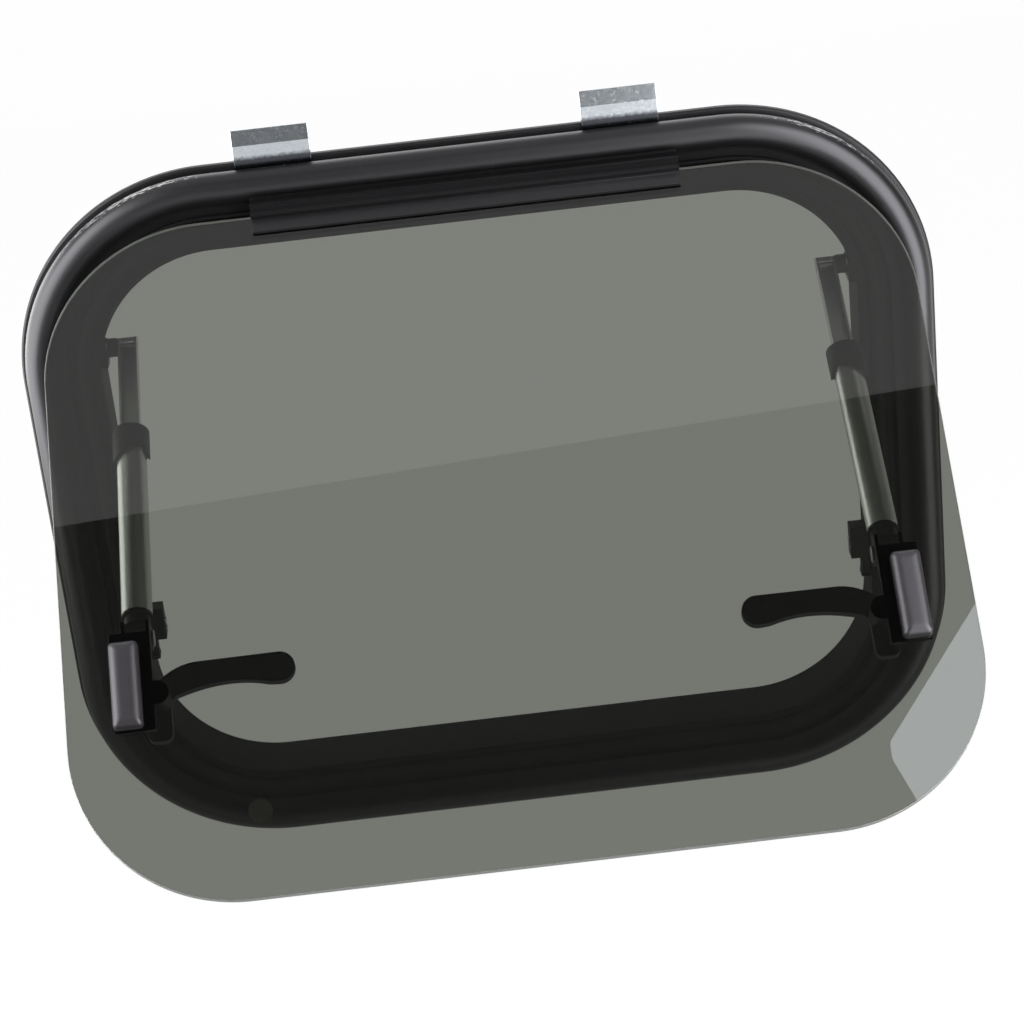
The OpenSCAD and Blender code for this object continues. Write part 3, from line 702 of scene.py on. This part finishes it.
def screw(name, place, across, radius, rise, slot="pin_steel"):
    """Head with a quarter-ellipse side, which sinks within two crossed lines."""
    share = np.array([1.0, 1.0, 0.96, 0.86, 0.7, 0.6, 0.5, 0.4, 0.3, 0.2, 0.1, 0.02])
    tall = np.array([0.0, 0.35, 0.62, 0.84, 0.95, 0.975, 0.985, 0.99, 0.995, 1.0, 1.0, 1.0])
    a = np.linspace(0, 2 * math.pi, AROUND, endpoint=False)
    u = radius * share[None, :] * np.cos(a)[:, None]
    v = radius * share[None, :] * np.sin(a)[:, None]
    in_cross = np.minimum(np.abs(u), np.abs(v)) < CROSS_HALF * radius
    w = rise * (tall[None, :] - CROSS_DEEP * in_cross * (share[None, :] < CROSS_REACH))
    out = np.array(across, float)
    side = np.cross(out, [0.0, 0.0, 1.0])
    third = np.cross(out, side)
    points = np.array(place, float) + u[..., None] * side + v[..., None] * third + w[..., None] * out
    piece(name, points * MM, grid_faces(AROUND, len(share), True, False), "frame", slot,
          caps=ends(AROUND, len(share)))


RING_SCREWS, SCREW_INSET = 14, 20
spots, _ = outline(FRAME_W - 2 * SCREW_INSET, FRAME_H - 2 * SCREW_INSET, CORNER - SCREW_INSET)
far = travelled(spots)
for k in range(RING_SCREWS):
    x, z = [np.interp((k + 0.5) / RING_SCREWS * far[-1], far, spots[:, axis]) for axis in (0, 1)]
    screw(f"ring_screw_{k}", (x, clamp_front + CLAMP_T, z + MIDDLE), (0, 1, 0), *RING_HEAD, "black_plastic")

# %% Screws in the stay brackets and strikes
BLOCK_T, BLOCK_ROW = 4.2, 3  # the bracket's thickness, and how far its screws lie from its front edge
for sign, side in SIDES:
    block_low, block_high = np.array(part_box("stay_bracket_" + side)) / MM
    strike_low, strike_high = np.array(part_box("strike_" + side)) / MM
    on_block = (sign * (FRAME_W / 2 - FACE - BLOCK_T), block_low[1] + BLOCK_ROW)
    on_strike = ((strike_low if sign > 0 else strike_high)[0], (strike_low[1] + strike_high[1]) / 2)
    for part, (x, y), bottom, top, shares in (
        ("stay_bracket", on_block, block_low[2], block_high[2], (0.18, 0.82)),
        ("strike", on_strike, strike_low[2], strike_high[2], (0.57, 0.73)),
    ):
        for k, share in enumerate(shares):
            z = bottom + (top - bottom) * share
            screw(f"{part}_{side}_screw_{k}", (x, y, z), (-sign, 0, 0), *SMALL_HEAD)

# %% [markdown]
# ## The round sticker
# A small round label on the inner side of the glass, near its lower left corner. It is left blank.

# %% Sticker
LABEL_X, LABEL_DOWN, LABEL_R = -145.0, 346.8, 6.5
a = np.linspace(0, 2 * math.pi, AROUND, endpoint=False)
rings = []
for radius, lift in ((LABEL_R, 0.02), (LABEL_R, 0.12), (0.02, 0.12)):
    depth = np.full_like(a, GLASS_MID_Y + GLASS_T / 2 + lift)
    z = GLASS_TOP - LABEL_DOWN + radius * np.sin(a)
    rings.append(np.stack([LABEL_X + radius * np.cos(a), depth, z], axis=1))
points = np.stack(rings, axis=1).reshape(-1, 3) * MM
piece("label", to_open(points), grid_faces(AROUND, 3, True, False), "sash", "label", caps=ends(AROUND, 3))

# %% [markdown]
# ## Studio
# The window hangs free before white. A large soft light overhead stops in a straight edge: the upper part of
# the glass mirrors it and the lower part looks past it. A bright card before that edge shows as the light
# patch in the glass. Lamps that only show in reflections draw the bright lines on the bead, the stays and
# the clips. The camera is the one that the fit of the photo gave.

# %% Camera and lamps
scene = bpy.context.scene
camera = bpy.data.objects.new("camera", bpy.data.cameras.new("camera"))
scene.collection.objects.link(camera)
scene.camera = camera
camera.location = (-0.018807, -1.655984, 1.029589)
camera.rotation_euler = [math.radians(v) for v in (63.0678, 5.5665, -3.7158)]
camera.data.lens = 108.638
camera.data.sensor_width = 36.0


def lamp(name, place, size, level, aim=None, turn=None, sheen=False):
    """A rectangular lamp of a given radiance, aimed or turned; one for sheen only shows in reflections."""
    data = bpy.data.lights.new(name, "AREA")
    data.shape = "RECTANGLE"
    data.size, data.size_y = size
    data.energy = level * math.pi * size[0] * size[1]
    obj = bpy.data.objects.new(name, data)
    scene.collection.objects.link(obj)
    obj.location = place
    obj.visible_diffuse = not sheen
    obj.visible_transmission = False
    if aim is not None:
        obj.rotation_euler = (Vector(aim) - Vector(place)).to_track_quat("-Z", "Y").to_euler()
    else:
        obj.rotation_euler = [math.radians(v) for v in turn]


CEILING = 1.4105  # height of the overhead lamp and of the card before its edge
middle = (0, 0, MIDDLE * MM)
lamp("overhead", (-0.0206, 0.1977, CEILING), (2.6, 1.4), 0.82, turn=(0, 0, 2.71))
lamp("left_front", (-0.86, -0.485, 0.55), (0.97, 1.3), 7.4, aim=(0.0, -0.485, 0.55), sheen=True)
lamp("left_back", (-0.86, 0.485, 0.29), (0.97, 0.6), 4.6, aim=(0.0, 0.485, 0.29), sheen=True)
lamp("right_sheen", (0.77, -0.68, 0.43), (0.92, 1.86), 7.6, aim=(0.25, 0.04, 0.43), sheen=True)
lamp("rim", (0.0, 1.5, 1.5), (2.4, 0.8), 3.0, aim=middle, sheen=True)
lamp("left", (-1.6, -0.6, 1.0), (1.0, 1.0), 1.6, aim=middle)
lamp("right", (1.6, -0.8, 1.0), (1.0, 1.0), 1.4, aim=middle)
lamp("behind_camera", (0.0, -2.6, 0.35), (3.0, 1.5), 0.2, aim=(0, 0, 0.35))
lamp("front_top", (0.0, -2.6, 2.05), (3.0, 0.7), 0.36, aim=(0, 0, 0.5))

# %% Bright card
glow = bpy.data.materials.new("glow")
glow.use_nodes = True
tree = glow.node_tree
tree.nodes.clear()
shine = node(tree, "ShaderNodeEmission", Color=(0.9, 0.96, 1, 1), Strength=5.0).outputs[0]
dark = node(tree, "ShaderNodeEmission", Color=(0, 0, 0, 1), Strength=0.0).outputs[0]
behind = node(tree, "ShaderNodeNewGeometry").outputs["Backfacing"]
node(tree, "ShaderNodeOutputMaterial", Surface=faded(tree, behind, shine, dark))
corners = [(0.448, -0.703), (0.358, -0.835), (0.359, -0.853), (0.378, -0.895), (0.395, -0.945), (0.56, -0.86),
           (0.68, -0.6), (0.583, -0.505)]
strip = bpy.data.meshes.new("strip")
strip.from_pydata([(px, py, CEILING) for px, py in corners], [], [tuple(range(len(corners)))[::-1]])
strip.materials.append(glow)
band = bpy.data.objects.new("strip", strip)
scene.collection.objects.link(band)
band.visible_camera = False
band.visible_shadow = False
band.visible_transmission = False


# %% Floor, backdrop and world
def ray_is(tree, *kinds):
    """1 for rays of any of the kinds, 0 for others."""
    path, seen = node(tree, "ShaderNodeLightPath"), 0.0
    for kind in kinds:
        seen = calc(tree, "MAXIMUM", seen, path.outputs[f"Is {kind} Ray"])
    return seen


def studio_white(name, lit, shown, shade):
    """White card: camera, mirrors and glass see a steady white with the shadow on it, other light a paint."""
    mat, tree, shader, out = material(name)
    cloud = node(tree, "ShaderNodeTexNoise", Scale=3.0).outputs[0]
    fill(tree, shader, Base_Color=mixed(tree, cloud, [lit - 0.02] * 3, [lit + 0.02] * 3), Roughness=0.9)
    white = node(tree, "ShaderNodeEmission", Color=(1, 1, 1, 1), Strength=shown).outputs[0]
    soft = node(tree, "ShaderNodeBsdfDiffuse", Color=(shade, shade, shade, 1)).outputs[0]
    both = node(tree, "ShaderNodeAddShader", i0=white, i1=soft).outputs[0]
    seen = ray_is(tree, "Camera", "Transmission", "Glossy")
    fill(tree, out, Surface=faded(tree, seen, shader.outputs[0], both))
    return mat


for name, place, turn in (("floor", (0, 0, -0.55), 0), ("backdrop", (0, 3.0, 0), 90)):
    bpy.ops.mesh.primitive_plane_add(size=12, location=place, rotation=(math.radians(turn), 0, 0))
    card = bpy.context.object
    card.name = name
    card.data.materials.append(studio_white(name, 0.8, 0.97, 0.12))

world = bpy.data.worlds.new("studio")
scene.world = world
world.use_nodes = True
tree = world.node_tree
seen = ray_is(tree, "Camera", "Transmission")
fill(tree, tree.nodes["Background"], Color=mixed(tree, seen, (0.025, 0.025, 0.027), (1, 1, 1)))
scene.view_settings.view_transform = "Standard"
